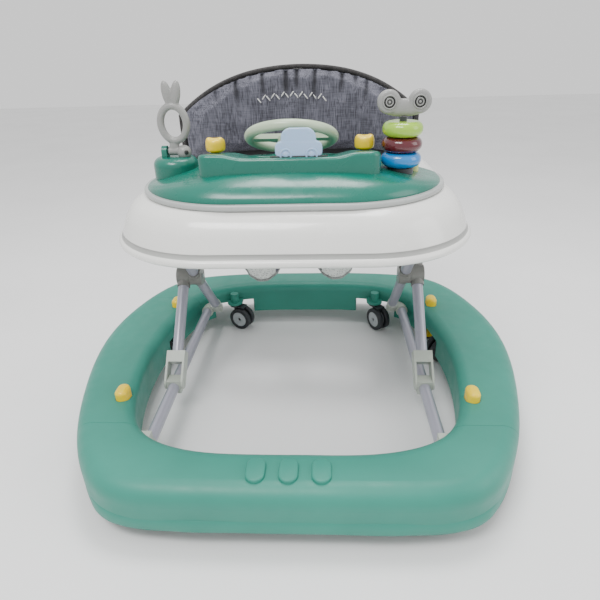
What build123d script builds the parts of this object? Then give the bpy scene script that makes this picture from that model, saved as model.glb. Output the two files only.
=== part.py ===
"""Baby walker with a ring base, scissor legs, a fabric seat and a toy tray.

Frame: millimetres, +Z up, origin on the floor under the middle of the base.
-Y is the walker's front (the toy tray's side), +Y its rear (the backrest's side).
Left and right are -X and +X. The walker stands at its highest setting.
"""
import math
import os

from build123d import *

# ---- base ring ----
RING_BOTTOM, RING_TOP = 26, 92
RING_WALL = 4
OUTLINE_STEPS = 32
RING_OUTER = [(0, -347), (60, -347), (150, -346), (240, -330), (300, -262), (350, -130),
              (378, 50), (354, 194), (290, 302), (180, 338), (60, 346), (0, 346)]
RING_INNER = [(0, -267), (50, -267), (130, -262), (215, -225), (259, -120), (268, 0),
              (252, 125), (214, 215), (130, 255), (50, 262), (0, 262)]
FRONT_SEAM, REAR_SEAM = -217, 196
SEAM_GAP = 0.4
OVAL_X = (-42, 0, 42)
OVAL_Y, OVAL_SIZE = -308, (25, 40)

# ---- rails and scissor legs ----
TUBE_R, TUBE_WALL = 9.5, 1.5
RAIL_X, RAIL_Z = 214, 56
LEG_A_X, LEG_B_X = 192, 214
PIVOT_Y, PIVOT_Z = 208, 60
LEG_LENGTH = 397
LEG_ANGLE = 45
REACH = LEG_LENGTH * math.cos(math.radians(LEG_ANGLE))
FRONT_Y, TOP_Z = PIVOT_Y - REACH, PIVOT_Z + REACH
CENTRE_Y, CENTRE_Z = PIVOT_Y - REACH / 2, PIVOT_Z + REACH / 2
PIN_R, PIN_CLEAR = 4, 0.06
SLIDE_TRAVEL = 64
FOOT_HALF = 15.9

# ---- casters: name, swivel x, swivel y, direction that the wheels trail in ----
CASTERS = [("rear_left", -158, 236, -23), ("rear_right", 158, 236, -58),
           ("side_left", -292, 100, -20), ("side_right", 292, 100, 200),
           ("front_left", -175, -288, 60), ("front_right", 175, -288, 120)]
WHEEL_R, WHEEL_WIDTH, WHEEL_GAP, TRAIL = 25, 11, 7, 16
AXLE_R, STEM_R = 3, 5
WELL_R, WELL_TOP = 46, 58
SHELF_TOP, BOSS_TOP, LEDGE_R = 63, 82, 17
PLATE_TOP = 57

# ---- brake knobs: name, x, y ----
BRAKES = [("front_left", -270, -153), ("front_right", 270, -153),
          ("rear_left", -267, 162), ("rear_right", 267, 162)]
KNOB_SIZE, KNOB_BASE, KNOB_TOP = (20, 30), 76, 103
BRAKE_STEM_R, PAD_R, PAD_BOTTOM, PAD_TOP = 6, 10, 11, 21
GUIDE_Z = (62, 67)

# ---- tray: half width, front y, rear y, front and rear corner radius at the rim ----
TRAY_PLAN = (258, -195, 275, 155, 110)
TRAY_LEVELS = [(325, 0), (338, 1), (352, 8), (367, 15), (380, 25), (388, 36)]
TRAY_WALL = 3
TRAY_TOP = 388
OPENING = (156, 22, 204, 60, 60)
TRIM_PLAN = (222, -161, 10, 150, 18)
TRIM_Z = (388.4, 397)
DOME_LEVELS = [(397.3, 4), (404, 7), (412, 16), (421, 30), (432, 50)]
DOME_TOP, DOME_R = 432, 728
DOME_REAR, DOME_CORNER = 6, 12
CONSOLE_X, CONSOLE_FRONT, CONSOLE_REAR = 122, -114, -2
CONSOLE_FRONT_Z, CONSOLE_REAR_Z = 448, 430

# ---- toys ----
WHEEL_CENTRE, WHEEL_TILT = (1, -38, 460), 24
GRIP_R, GRIP_TUBE_R = 60, 7
BUTTON_X, BUTTON_Y = (-108, 104), -44
BUTTON_BASE, BUTTON_TOP = 442.5, 463
CAR_CENTRE, CAR_SIZE = (14, -106), (62, 5, 34)
CAR_SLIDE = 6
BEAD_X, BEAD_Y, BEAD_R = 154, -60, 27.5
BEADS = [("blue_bead", 431.6), ("red_bead", 451.7), ("green_bead", 471.8)]
BEAD_HEIGHT = 19.5
FROG_Z = 502
POD = (-176, -18, 33)
BUNNY_Z, HINGE_Z, POD_TOP = 449, 441, 433.5

# ---- seat and backrest ----
BACK_W, BACK_TOP, BACK_R = 213, 549, 415
BACK_Y, PAD_THICK, BOARD_THICK = 236, 20, 4
SEAT_TOP, SEAT_BOTTOM, CLOTH = 390.5, 196, 4
SEAT_RIM, SEAT_MIDDLE = (152, 24, 200, 58, 58), (144, 26, 165, 62, 62)
SEAT_FLOOR = (122, 30, 150, 52, 52)
LEG_HOLE = (66, 78, 40)


def tube(start, end, radius=TUBE_R, wall=TUBE_WALL):
    """A straight round tube between two points; wall=None makes a solid rod."""
    start, end = Vector(*start), Vector(*end)
    plane = Plane(origin=start, z_dir=end - start)
    section = Circle(radius)
    if wall:
        section -= Circle(radius - wall)
    return extrude(plane * section, amount=(end - start).length)


def rod_x(x0, x1, y, z, radius):
    """A solid rod along X."""
    return tube((x0, y, z), (x1, y, z), radius, None)


def cylinder(x, y, bottom, top, radius):
    """An upright solid cylinder."""
    return Pos(x, y, bottom) * extrude(Circle(radius), amount=top - bottom)


def block(x0, x1, y0, y1, z0, z1):
    """A box between two corners."""
    return Pos((x0 + x1) / 2, (y0 + y1) / 2, (z0 + z1) / 2) * Box(x1 - x0, y1 - y0, z1 - z0)


def both_sides(shape):
    """The shape and its mirror image across the walker's middle plane, as one node."""
    return Compound(children=[*shape.solids(), *mirror(shape, about=Plane.YZ).solids()])


def smooth_outline(points, inset=0):
    """A face inside a closed smooth line, from its right half's points, moved in by inset."""
    ring = [*points, *[(-x, y) for x, y in reversed(points[1:-1])]]
    line = Spline(*ring, periodic=True)
    if inset:
        steps = [k / OUTLINE_STEPS for k in range(OUTLINE_STEPS)]
        inward = [line.tangent_at(t).rotate(Axis.Z, 90) * inset for t in steps]
        moved = [line.position_at(t) + shift for t, shift in zip(steps, inward)]
        line = Spline(*moved, periodic=True)
    return make_face(line)


def rounded_plan(plan, inset=0):
    """A face with straight sides and two corner radii, moved in by inset."""
    half, front, rear, r_front, r_rear = plan
    half, front, rear = half - inset, front + inset, rear - inset
    r_front, r_rear = max(r_front - inset, 2), max(r_rear - inset, 2)
    k = math.sqrt(0.5)
    front_mid = (half - r_front * (1 - k), front + r_front * (1 - k))
    rear_mid = (half - r_rear * (1 - k), rear - r_rear * (1 - k))
    half_line = [Line((0, front), (half - r_front, front)),
                 ThreePointArc((half - r_front, front), front_mid, (half, front + r_front)),
                 Line((half, front + r_front), (half, rear - r_rear)),
                 ThreePointArc((half, rear - r_rear), rear_mid, (half - r_rear, rear)),
                 Line((half - r_rear, rear), (0, rear))]
    return make_face([*half_line, *[mirror(e, about=Plane.YZ) for e in half_line]])


def layered(plan, levels, inset=0):
    """A solid through the plan at each level (z, inset at that z)."""
    faces = [Pos(0, 0, z) * rounded_plan(plan, d + inset) for z, d in levels]
    return loft(faces, ruled=True)


# ---------------------------------------------------------------- base ring

def ring_envelope(inset, bottom, top, r_outer, r_inner):
    """The ring's rounded section all the way round, moved in by inset."""
    plan = smooth_outline(RING_OUTER, inset) - smooth_outline(RING_INNER, -inset)
    ring = Pos(0, 0, bottom) * extrude(plan, amount=top - bottom)
    for pick, radius in ((-1, r_outer), (0, r_inner)):
        rims = ring.edges().group_by(Axis.Z)[-1].sort_by(SortBy.LENGTH)
        ring = fillet(rims[pick], radius)
    return ring


def oval(size, x, y, bottom, top):
    """An upright oblong post, longer along Y."""
    return Pos(x, y, bottom) * extrude(Rot(0, 0, 90) * SlotOverall(size[1], size[0]),
                                       amount=top - bottom)


def ring_body():
    """The whole ring as a thin shell, open below, with its bosses, wells and knob holes."""
    skin = ring_envelope(0, RING_BOTTOM, RING_TOP, 26, 18)
    shell = skin - ring_envelope(RING_WALL, RING_BOTTOM - 1, RING_TOP - RING_WALL, 22, 14)
    for x in OVAL_X:
        shell += oval(OVAL_SIZE, x, OVAL_Y, RING_TOP - RING_WALL + 1, RING_TOP + 3)
    for name, x, y, _ in CASTERS:
        shell -= cylinder(x, y, 0, WELL_TOP, WELL_R)
        shelf = cylinder(x, y, WELL_TOP, SHELF_TOP, WELL_R) & skin
        if name.startswith("rear"):
            shelf += cylinder(x, y, WELL_TOP, SHELF_TOP, LEDGE_R)
            shelf += block(x - LEDGE_R, x + LEDGE_R, y, y + 34, WELL_TOP, SHELF_TOP)
        shell += shelf + cylinder(x, y, WELL_TOP, BOSS_TOP, 9)
        shell -= cylinder(x, y, WELL_TOP - 1, BOSS_TOP - 2, STEM_R + PIN_CLEAR)
    for _, x, y in BRAKES:
        shell += cylinder(x, y, *GUIDE_Z, 26) & skin
        shell -= cylinder(x, y, GUIDE_Z[0] - 1, GUIDE_Z[1] + 1, BRAKE_STEM_R + 0.3)
        shell -= oval((KNOB_SIZE[0] + 1.6, KNOB_SIZE[1] + 1.6), x, y, GUIDE_Z[1], 130)
    return shell


def base_ring():
    """The ring cut into its four moulded segments."""
    ring = ring_body()
    far, gap = 500, SEAM_GAP / 2
    cuts = {"ring_front": block(-far, far, -far, FRONT_SEAM - gap, 0, 200),
            "ring_rear": block(-far, far, REAR_SEAM + gap, far, 0, 200),
            "ring_left": block(-far, 0, FRONT_SEAM + gap, REAR_SEAM - gap, 0, 200),
            "ring_right": block(0, far, FRONT_SEAM + gap, REAR_SEAM - gap, 0, 200)}
    sockets = both_sides(rail_socket())
    parts = {name: ring & cut for name, cut in cuts.items()}
    parts["rail_sockets"] = sockets
    for name in ("ring_front", "ring_rear", "ring_left", "ring_right"):
        for solid in [*sockets.solids(), *rear_elbows().solids()]:
            parts[name] -= solid
        for side in (-1, 1):
            parts[name] -= tube((side * RAIL_X, -240, RAIL_Z), (side * RAIL_X, 240, RAIL_Z),
                                TUBE_R + 0.1, None)
    return parts


def rail_socket():
    """The cup under the front segment that a rail's front end sits in."""
    cup = tube((RAIL_X, -236, RAIL_Z), (RAIL_X, -219, RAIL_Z), 13, None)
    cup += block(RAIL_X - 9, RAIL_X + 9, -236, -222, RAIL_Z + 9, RING_TOP - RING_WALL - 6)
    return cup - tube((RAIL_X, -230, RAIL_Z), (RAIL_X, -200, RAIL_Z), TUBE_R + 0.05, None)


def rails():
    """The two level tubes that the lower sliders run on."""
    return {f"rail_{name}": tube((side * RAIL_X, -229.9, RAIL_Z), (side * RAIL_X, 222, RAIL_Z))
            for name, side in (("left", -1), ("right", 1))}


def rear_elbow():
    """The fitting that ends a rail and carries the lower pivot of an inner leg."""
    cup = tube((RAIL_X, 196, RAIL_Z), (RAIL_X, 232, RAIL_Z), 12.5, None)
    cup += block(RAIL_X - 10, RAIL_X + 10, 214, 242, RAIL_Z - 2, RAIL_Z + 10)
    cup -= tube((RAIL_X, 150, RAIL_Z), (RAIL_X, 222.1, RAIL_Z), TUBE_R + 0.05, None)
    pin = rod_x(LEG_A_X - 10, RAIL_X - TUBE_R - 0.5, PIVOT_Y, PIVOT_Z, PIN_R)
    return cup + pin


def rear_elbows():
    return both_sides(rear_elbow())


def brakes():
    """Each press-down brake: a coloured knob on its stem, and a rubber pad below."""
    parts = {}
    for name, x, y in BRAKES:
        cap = oval(KNOB_SIZE, x, y, KNOB_BASE + 2, KNOB_TOP)
        cap = fillet(cap.edges().group_by(Axis.Z)[-1], 6)
        stem = Pos(x, y, PAD_TOP - 4) * extrude(Circle(BRAKE_STEM_R), amount=KNOB_BASE + 3 - PAD_TOP + 4)
        pad = Pos(x, y, PAD_BOTTOM) * extrude(Circle(PAD_R), amount=PAD_TOP - PAD_BOTTOM)
        pad = chamfer(pad.edges().group_by(Axis.Z)[0], 1.5)
        parts[f"brake_knob_{name}"] = cap + stem
        parts[f"brake_pad_{name}"] = pad - stem
    return parts


def casters():
    """Each caster: a hood on its stem, and a pair of wheels on one axle."""
    parts = {}
    half = WHEEL_GAP / 2
    outer = half + WHEEL_WIDTH
    for name, x, y, direction in CASTERS:
        place = Pos(x, y, 0) * Rot(0, 0, direction)
        web = block(0, TRAIL + 6, -half + 0.5, half - 0.5, WHEEL_R - 6, PLATE_TOP - 3)
        web += block(-2, TRAIL, -half + 0.5, half - 0.5, WHEEL_R + 8, PLATE_TOP - 2)
        plate = Pos(0, 0, 52) * extrude(Circle(12), amount=PLATE_TOP - 52)
        plate += block(0, TRAIL + 10, -9, 9, 52, 55)
        stem = Pos(0, 0, PLATE_TOP - 1) * extrude(Circle(STEM_R), amount=21)
        axle_hole = Pos(TRAIL, 0, WHEEL_R) * Rot(90, 0, 0) * Cylinder(AXLE_R + PIN_CLEAR, 2 * outer)
        wheel = Pos(TRAIL, half + WHEEL_WIDTH / 2, WHEEL_R) * Rot(90, 0, 0) * Cylinder(WHEEL_R, WHEEL_WIDTH)
        wheel = fillet(wheel.edges(), 2.5)
        axle = Pos(TRAIL, 0, WHEEL_R) * Rot(90, 0, 0) * Cylinder(AXLE_R, 2 * half + 4)
        parts[f"caster_fork_{name}"] = place * (web + plate + stem - axle_hole)
        parts[f"caster_wheels_{name}"] = place * (wheel + mirror(wheel, about=Plane.XZ) + axle)
    return parts


# ---------------------------------------------------------------- scissor legs

def along(start, end, distance):
    """The point at a distance from start towards end, in the leg's upright plane."""
    k = distance / math.hypot(end[0] - start[0], end[1] - start[1])
    return (start[0] + (end[0] - start[0]) * k, start[1] + (end[1] - start[1]) * k)


def leg_tube(x, low, high, gap_low, gap_high):
    """A leg tube between two pivots, stopping short of each."""
    a, b = along(low, high, gap_low), along(high, low, gap_high)
    return tube((x, *a), (x, *b)) - centre_pin_hole()


def centre_pin_hole():
    return rod_x(LEG_A_X - 14, LEG_B_X + 14, CENTRE_Y, CENTRE_Z, PIN_R + PIN_CLEAR)


def leg_socket(x, pivot, other, start, end, radius=12):
    """A collar on a leg tube's end, from start to end along the leg."""
    a, b = along(pivot, other, start), along(pivot, other, end)
    return tube((x, *a), (x, *b), radius, None)


def leg_eye(x, pivot, other):
    """The flattened, drilled end of a leg tube at its upper pivot."""
    eye = rod_x(x - 7, x + 7, *pivot, 8) + leg_socket(x, pivot, other, 4, 13, TUBE_R)
    eye &= block(x - 7, x + 7, -400, 400, 0, 600)
    return eye - rod_x(x - 20, x + 20, *pivot, PIN_R + PIN_CLEAR)


def inner_leg():
    """The foot and tube of the leg from the rear elbow up to the tray's front."""
    low, high = (PIVOT_Y, PIVOT_Z), (FRONT_Y, TOP_Z)
    foot = rod_x(LEG_A_X - 9, LEG_A_X + 9, *low, 8.8) + leg_socket(LEG_A_X, low, high, 4, 32, 11.5)
    foot -= leg_socket(LEG_A_X, low, high, 14, 60, TUBE_R + 0.05)
    foot &= block(LEG_A_X - 9.5, LEG_A_X + 9.5, 0, 400, 51.2, 400)
    foot -= rod_x(LEG_A_X - 20, LEG_A_X + 20, *low, PIN_R + PIN_CLEAR)
    return foot, leg_tube(LEG_A_X, low, high, 14.2, 12) + leg_eye(LEG_A_X, high, low)


def outer_leg():
    """The forked foot and tube of the leg from the lower slider up to the tray's rear."""
    low, high = (FRONT_Y, PIVOT_Z), (PIVOT_Y, TOP_Z)
    start, end, half = 34, 54, 11.5
    x0, x1 = LEG_B_X + 12.4, LEG_B_X + FOOT_HALF
    side = Plane(origin=(x0, *low), x_dir=(0, 1, 1), z_dir=(1, 0, 0))
    cheek = rod_x(x0, x1, *low, half)
    cheek += extrude(side * Pos(end / 2, 0) * Rectangle(end, 2 * half), amount=x1 - x0)
    foot = cheek + mirror(cheek, about=Plane.YZ.offset(LEG_B_X))
    middle = Plane(origin=(LEG_B_X - FOOT_HALF, *low), x_dir=(0, 1, 1), z_dir=(1, 0, 0))
    foot += extrude(middle * Pos((start + end) / 2, 0) * Rectangle(end - start, 2 * half),
                    amount=2 * FOOT_HALF)
    foot -= leg_socket(LEG_B_X, low, high, start + 2, 90, TUBE_R + 0.05)
    foot -= rod_x(LEG_B_X - 30, LEG_B_X + 30, *low, PIN_R + PIN_CLEAR)
    return foot, leg_tube(LEG_B_X, low, high, start + 2.2, 12) + leg_eye(LEG_B_X, high, low)


def hub(x0, x1, x, low, high):
    """The housing clamped round a leg tube at the centre pivot."""
    centre = (CENTRE_Y, CENTRE_Z)
    body = rod_x(x0, x1, *centre, 17)
    body += tube((x, *along(centre, high, -22)), (x, *along(centre, high, 22)), 12, None)
    body &= block(x0, x1, -400, 400, 0, 400)
    body -= tube((x, *along(centre, low, 60)), (x, *along(centre, high, 60)), TUBE_R + 0.05, None)
    return body - centre_pin_hole()


def scissor():
    """Both legs of both sides, their end fittings, hubs, pins and cross tubes."""
    foot_a, leg_a = inner_leg()
    foot_b, leg_b = outer_leg()
    low_a, high_a = (PIVOT_Y, PIVOT_Z), (FRONT_Y, TOP_Z)
    low_b, high_b = (FRONT_Y, PIVOT_Z), (PIVOT_Y, TOP_Z)
    cross_a, cross_b = along(high_a, low_a, 34), along(high_b, low_b, 34)
    pin = rod_x(LEG_A_X - 13, LEG_B_X + 13, CENTRE_Y, CENTRE_Z, PIN_R)
    return {"inner_leg_left": mirror(leg_a, about=Plane.YZ),
            "inner_leg_right": leg_a,
            "inner_leg_feet": both_sides(foot_a),
            "inner_cross_tube": rod_x(-LEG_A_X + TUBE_R + 0.1, LEG_A_X - TUBE_R - 0.1, *cross_a, 8),
            "inner_hubs": both_sides(hub(LEG_A_X - 11.5, LEG_A_X + 10.8, LEG_A_X, low_a, high_a)),
            "centre_pins": both_sides(pin),
            "outer_leg_left": mirror(leg_b, about=Plane.YZ),
            "outer_leg_right": leg_b,
            "outer_leg_feet": both_sides(foot_b),
            "outer_cross_tube": rod_x(-LEG_B_X + TUBE_R + 0.1, LEG_B_X - TUBE_R - 0.1, *cross_b, 8),
            "outer_hubs": both_sides(hub(LEG_B_X - 10.8, LEG_B_X + 11.5, LEG_B_X, low_b, high_b))}


def lower_sliders():
    """The sleeves that run on the rails and carry the outer legs' feet."""
    sleeve = block(RAIL_X - 12, RAIL_X + 12, FRONT_Y - 11, FRONT_Y + 11, RAIL_Z - 11.5, RAIL_Z + 12)
    sleeve += rod_x(RAIL_X - 15.5, RAIL_X + 15.5, FRONT_Y, PIVOT_Z, PIN_R)
    sleeve -= tube((RAIL_X, FRONT_Y - 30, RAIL_Z), (RAIL_X, FRONT_Y + 30, RAIL_Z),
                   TUBE_R + 0.25, None)
    return both_sides(sleeve)


def upper_sliders():
    """The blocks at the inner legs' upper ends, which run forward in the tray's tracks."""
    cheek = block(LEG_A_X + 7.4, LEG_A_X + 10, FRONT_Y - 7, FRONT_Y + 7, TOP_Z - 6, TOP_Z + 14)
    block_top = block(LEG_A_X - 10, LEG_A_X + 10, FRONT_Y - 7, FRONT_Y + 7, TOP_Z + 10, TOP_Z + 14)
    slider = cheek + mirror(cheek, about=Plane.YZ.offset(LEG_A_X)) + block_top
    slider += rod_x(LEG_A_X - 9, LEG_A_X + 9, FRONT_Y, TOP_Z, PIN_R)
    return both_sides(slider)


# ---------------------------------------------------------------- tray

def tray_skirt():
    """The tray's moulded shell: a flared skirt under a top plate with the seat opening."""
    outer = layered(TRAY_PLAN, TRAY_LEVELS)
    inner_levels = [(z, d) for z, d in TRAY_LEVELS[:-1]]
    inner_levels[0] = (TRAY_LEVELS[0][0] - 1, 0)
    inner = layered(TRAY_PLAN, [*inner_levels, (TRAY_TOP - TRAY_WALL, 33)], TRAY_WALL)
    hole = Pos(0, 0, 300) * extrude(rounded_plan(OPENING), amount=120)
    return outer - inner - hole


def tray_tracks():
    """The channels under the tray that the upper sliders run forward in."""
    y0, y1 = FRONT_Y - SLIDE_TRAVEL - 8, FRONT_Y + 22
    z0, z1 = TOP_Z - 2, TRAY_TOP - TRAY_WALL - 0.05
    track = block(LEG_A_X - 14, LEG_A_X + 14, y0, y1, z0, z1)
    track -= block(LEG_A_X - 10.6, LEG_A_X + 10.6, y0 - 5, y1 - 3, z0 - 1, TOP_Z + 14.6)
    return both_sides(track & layered(TRAY_PLAN, TRAY_LEVELS, TRAY_WALL + 2))


def rear_brackets():
    """The lugs under the tray's rear that hold the outer legs' upper pivots."""
    cheek = block(LEG_B_X + 7.5, LEG_B_X + 11, PIVOT_Y - 7, PIVOT_Y + 9, TOP_Z - 6, TOP_Z + 14)
    lug = cheek + mirror(cheek, about=Plane.YZ.offset(LEG_B_X))
    lug += block(LEG_B_X - 11, LEG_B_X + 11, PIVOT_Y - 9, PIVOT_Y + 9, TOP_Z + 11, TOP_Z + 14)
    lug += rod_x(LEG_B_X - 10, LEG_B_X + 10, PIVOT_Y, TOP_Z, PIN_R)
    lug += block(LEG_B_X - 11, LEG_B_X + 11, PIVOT_Y - 16, PIVOT_Y + 9, TOP_Z + 13, TRAY_TOP - 3)
    return both_sides(lug & layered(TRAY_PLAN, TRAY_LEVELS, TRAY_WALL + 2))


def backrest():
    """The curved backrest: a padded fabric front and a thin board behind it."""
    arch = make_face([Line((-BACK_W, TRAY_TOP), (BACK_W, TRAY_TOP)),
                      Line((BACK_W, TRAY_TOP), (BACK_W, 470)),
                      Spline((BACK_W, 470), (170, 507), (84, 541), (0, BACK_TOP),
                             (-84, 541), (-170, 507), (-BACK_W, 470)),
                      Line((-BACK_W, 470), (-BACK_W, TRAY_TOP))])
    wall = extrude(Plane.XZ.offset(-400) * arch, amount=800, both=False)
    axis_y = BACK_Y - BACK_R

    def shell(r_out, r_in, z0, z1):
        ring = Circle(r_out) - Circle(r_in)
        return Pos(0, axis_y, z0) * extrude(ring, amount=z1 - z0) & block(-400, 400, 100, 400, z0, z1)

    inner_r = BACK_R - BOARD_THICK - 0.3
    pad = wall & shell(inner_r, inner_r - PAD_THICK, TRAY_TOP + 3, 600)
    board = wall & shell(BACK_R, BACK_R - BOARD_THICK, TRAY_TOP + 0.2, BACK_TOP - 8)
    return {"backrest_pad": pad, "backrest_board": board}


def seat_bucket():
    """The hanging fabric seat, with a rim on the tray and an opening at each leg."""
    def bucket(inset, bottom, top):
        plans = [(top, SEAT_RIM), (346, SEAT_MIDDLE), (bottom, SEAT_FLOOR)]
        return loft([Pos(0, 0, z) * rounded_plan(plan, inset) for z, plan in plans], ruled=True)
    seat = bucket(0, SEAT_BOTTOM, SEAT_TOP)
    rim = (SEAT_RIM[0] + 10, SEAT_RIM[1] - 9, *(SEAT_RIM[2] + 12, 64, 64))
    seat += Pos(0, 0, TRAY_TOP + 0.3) * extrude(rounded_plan(rim), amount=SEAT_TOP - TRAY_TOP - 0.3)
    seat -= bucket(CLOTH, SEAT_BOTTOM + CLOTH, SEAT_TOP + 1)
    for side in (-1, 1):
        seat -= cylinder(side * LEG_HOLE[0], LEG_HOLE[1], 150, 240, LEG_HOLE[2])
    return {"seat_bucket": seat}


# ---------------------------------------------------------------- toy tray

def dome(inset):
    """The toy tray's domed top, moved in by inset, with its rear edge upright."""
    half, front, _, corner, _ = TRIM_PLAN
    faces = []
    for z, d in DOME_LEVELS:
        d += inset
        plan = (half - d, front + d, DOME_REAR - inset, corner - d, DOME_CORNER)
        faces.append(Pos(0, 0, z - inset) * rounded_plan(plan))
    arch = Pos(0, 0, DOME_TOP - inset - DOME_R) * Rot(90, 0, 0) * Cylinder(DOME_R, 800)
    return loft(faces, ruled=True) & arch


def console(inset):
    """The raised dashboard, which falls towards the child."""
    y0, y1 = CONSOLE_FRONT + inset, CONSOLE_REAR - inset
    side = Polyline((y0, 405), (y0, CONSOLE_FRONT_Z - inset), (y1, CONSOLE_REAR_Z - inset),
                    (y1, 405), (y0, 405))
    solid = extrude(Plane.YZ * make_face(side), amount=CONSOLE_X - inset, both=True)
    return fillet(solid.edges().filter_by(Axis.Z), 14 - inset)


def toy_tray():
    """The lift-off toy tray with its dashboard and sockets, and its trim band."""
    low = DOME_LEVELS[0][0]
    body = dome(0) + console(0)
    body -= dome(3) + console(3)
    for x in BUTTON_X:
        body += cylinder(x, BUTTON_Y, low + 6, 434, 12.4)
        body -= cylinder(x, BUTTON_Y, low + 10, 480, 9.4)
    slot_x, slot_y = CAR_CENTRE
    half_x, half_y = CAR_SIZE[0] / 2 + CAR_SLIDE + 1, CAR_SIZE[1] / 2 + 0.7
    body += block(slot_x - half_x - 3, slot_x + half_x + 3, slot_y - 7, slot_y + 7, 432, 445)
    body -= block(slot_x - half_x, slot_x + half_x, slot_y - half_y, slot_y + half_y, 436, 470)
    body += tilted(0, 0, -34) * extrude(Circle(10), amount=22)
    body -= tilted(0, 0, -40) * extrude(Circle(4.1), amount=50)
    band = Pos(0, 0, TRIM_Z[0]) * extrude(rounded_plan(TRIM_PLAN) - rounded_plan(TRIM_PLAN, 9),
                                          amount=TRIM_Z[1] - TRIM_Z[0])
    return {"toy_tray": body, "tray_trim": band}


def tilted(x, y, z):
    """A place on the steering wheel: x, y in its plane and z along its axis."""
    return Pos(*WHEEL_CENTRE) * Rot(-WHEEL_TILT, 0, 0) * Pos(x, y, z)


def toys():
    """The toys on the tray, each a piece of its own."""
    parts = {}
    grip = Torus(GRIP_R, GRIP_TUBE_R)
    hub_disc = Pos(0, 0, -6) * Cylinder(20, 10)
    spokes = Box(2 * GRIP_R, 16, 7) + Pos(0, -30, 0) * Box(16, 60, 7)
    shaft = Pos(0, 0, -31) * extrude(Circle(4), amount=27)
    parts["steering_wheel"] = tilted(0, 0, 0) * (grip + hub_disc + spokes + shaft)
    for name, x in zip(("left", "right"), BUTTON_X):
        stem = cylinder(x, BUTTON_Y, 425, BUTTON_BASE + 0.5, 9)
        cap = cylinder(x, BUTTON_Y, BUTTON_BASE, BUTTON_TOP, 11)
        parts[f"button_{name}"] = fillet(cap.edges().group_by(Axis.Z)[-1], 5) + stem
    x, y = CAR_CENTRE
    length, thick, height = CAR_SIZE
    body = block(x - length / 2, x + length / 2, y - thick / 2, y + thick / 2, 437, 437 + 28)
    cabin = block(x - length * 0.3, x + length * 0.26, y - thick / 2, y + thick / 2, 460, 448 + height)
    parts["slide_car"] = fillet((body + cabin).edges().filter_by(Axis.Y), 3)
    post = cylinder(BEAD_X, BEAD_Y, 405, FROG_Z - 15.1, 5) + cylinder(BEAD_X, BEAD_Y, 405, 420.6, 18)
    parts["bead_post"] = post - dome(0)
    for name, z in BEADS:
        bead = Pos(BEAD_X, BEAD_Y, z) * Cylinder(BEAD_R, BEAD_HEIGHT)
        bead = fillet(bead.edges(), BEAD_HEIGHT / 2 - 0.6)
        parts[name] = bead - Pos(BEAD_X, BEAD_Y, z) * Cylinder(5.3, 2 * BEAD_HEIGHT)
    head = Plane.XZ.offset(6 - BEAD_Y) * (Pos(BEAD_X, FROG_Z - 3) * Ellipse(36, 12)
                                           + Pos(BEAD_X - 20, FROG_Z + 4) * Circle(14)
                                           + Pos(BEAD_X + 20, FROG_Z + 4) * Circle(14))
    parts["frog_head"] = extrude(head, amount=-12)
    parts |= bunny()
    return parts


def bunny():
    """The round pod with two lugs, and the ring with ears that tips between them."""
    px, py, pr = POD
    pod = cylinder(px, py, 397.4, POD_TOP, pr)
    pod = fillet(pod.edges().group_by(Axis.Z)[-1], 12) - dome(0)
    lug = rod_x(px + 10, px + 18, py, HINGE_Z, 8)
    lug += block(px + 10, px + 18, py - 8, py + 8, POD_TOP - 2, HINGE_Z)
    lugs = lug + mirror(lug, about=Plane.YZ.offset(px))
    pin = rod_x(px - 11, px + 11, py, HINGE_Z, 2.5)
    ring = Plane.XZ.offset(5 - py) * (Pos(px + 4, BUNNY_Z + 31) * (Ellipse(24, 29) - Ellipse(14, 19)))
    ears = Plane.XZ.offset(5 - py) * (Pos(px + 2, BUNNY_Z + 73) * Rot(0, 0, 8) * Ellipse(6, 17)
                                       + Pos(px + 14, BUNNY_Z + 71) * Rot(0, 0, -12) * Ellipse(6, 17))
    neck = rod_x(px - 9, px + 9, py, HINGE_Z, 6)
    neck += block(px - 8, px + 8, py - 5, py + 5, HINGE_Z, BUNNY_Z + 6)
    body = extrude(ring, amount=-10) + extrude(ears, amount=-10) + neck
    body -= rod_x(px - 20, px + 20, py, HINGE_Z, 2.5 + PIN_CLEAR)
    return {"bunny_pod": pod + lugs + pin, "bunny_ring": body}


def build():
    """Every node of the walker, by name."""
    parts = {}
    for group in (base_ring(), rails(), brakes(), casters(), scissor(), backrest(),
                  seat_bucket(), toy_tray(), toys()):
        parts |= group
    parts["rear_elbows"] = rear_elbows()
    parts["lower_sliders"] = lower_sliders()
    parts["upper_sliders"] = upper_sliders()
    parts["tray_skirt"] = tray_skirt()
    parts["tray_tracks"] = tray_tracks()
    parts["rear_brackets"] = rear_brackets()
    return parts


os.makedirs("parts", exist_ok=True)
for node, shape in build().items():
    export_step(shape, f"parts/{node}.step")
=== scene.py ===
"""The looks of a baby walker: materials, fabric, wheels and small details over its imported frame."""

import math

import bmesh
import bpy
from mathutils import Matrix, Vector, noise


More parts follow.
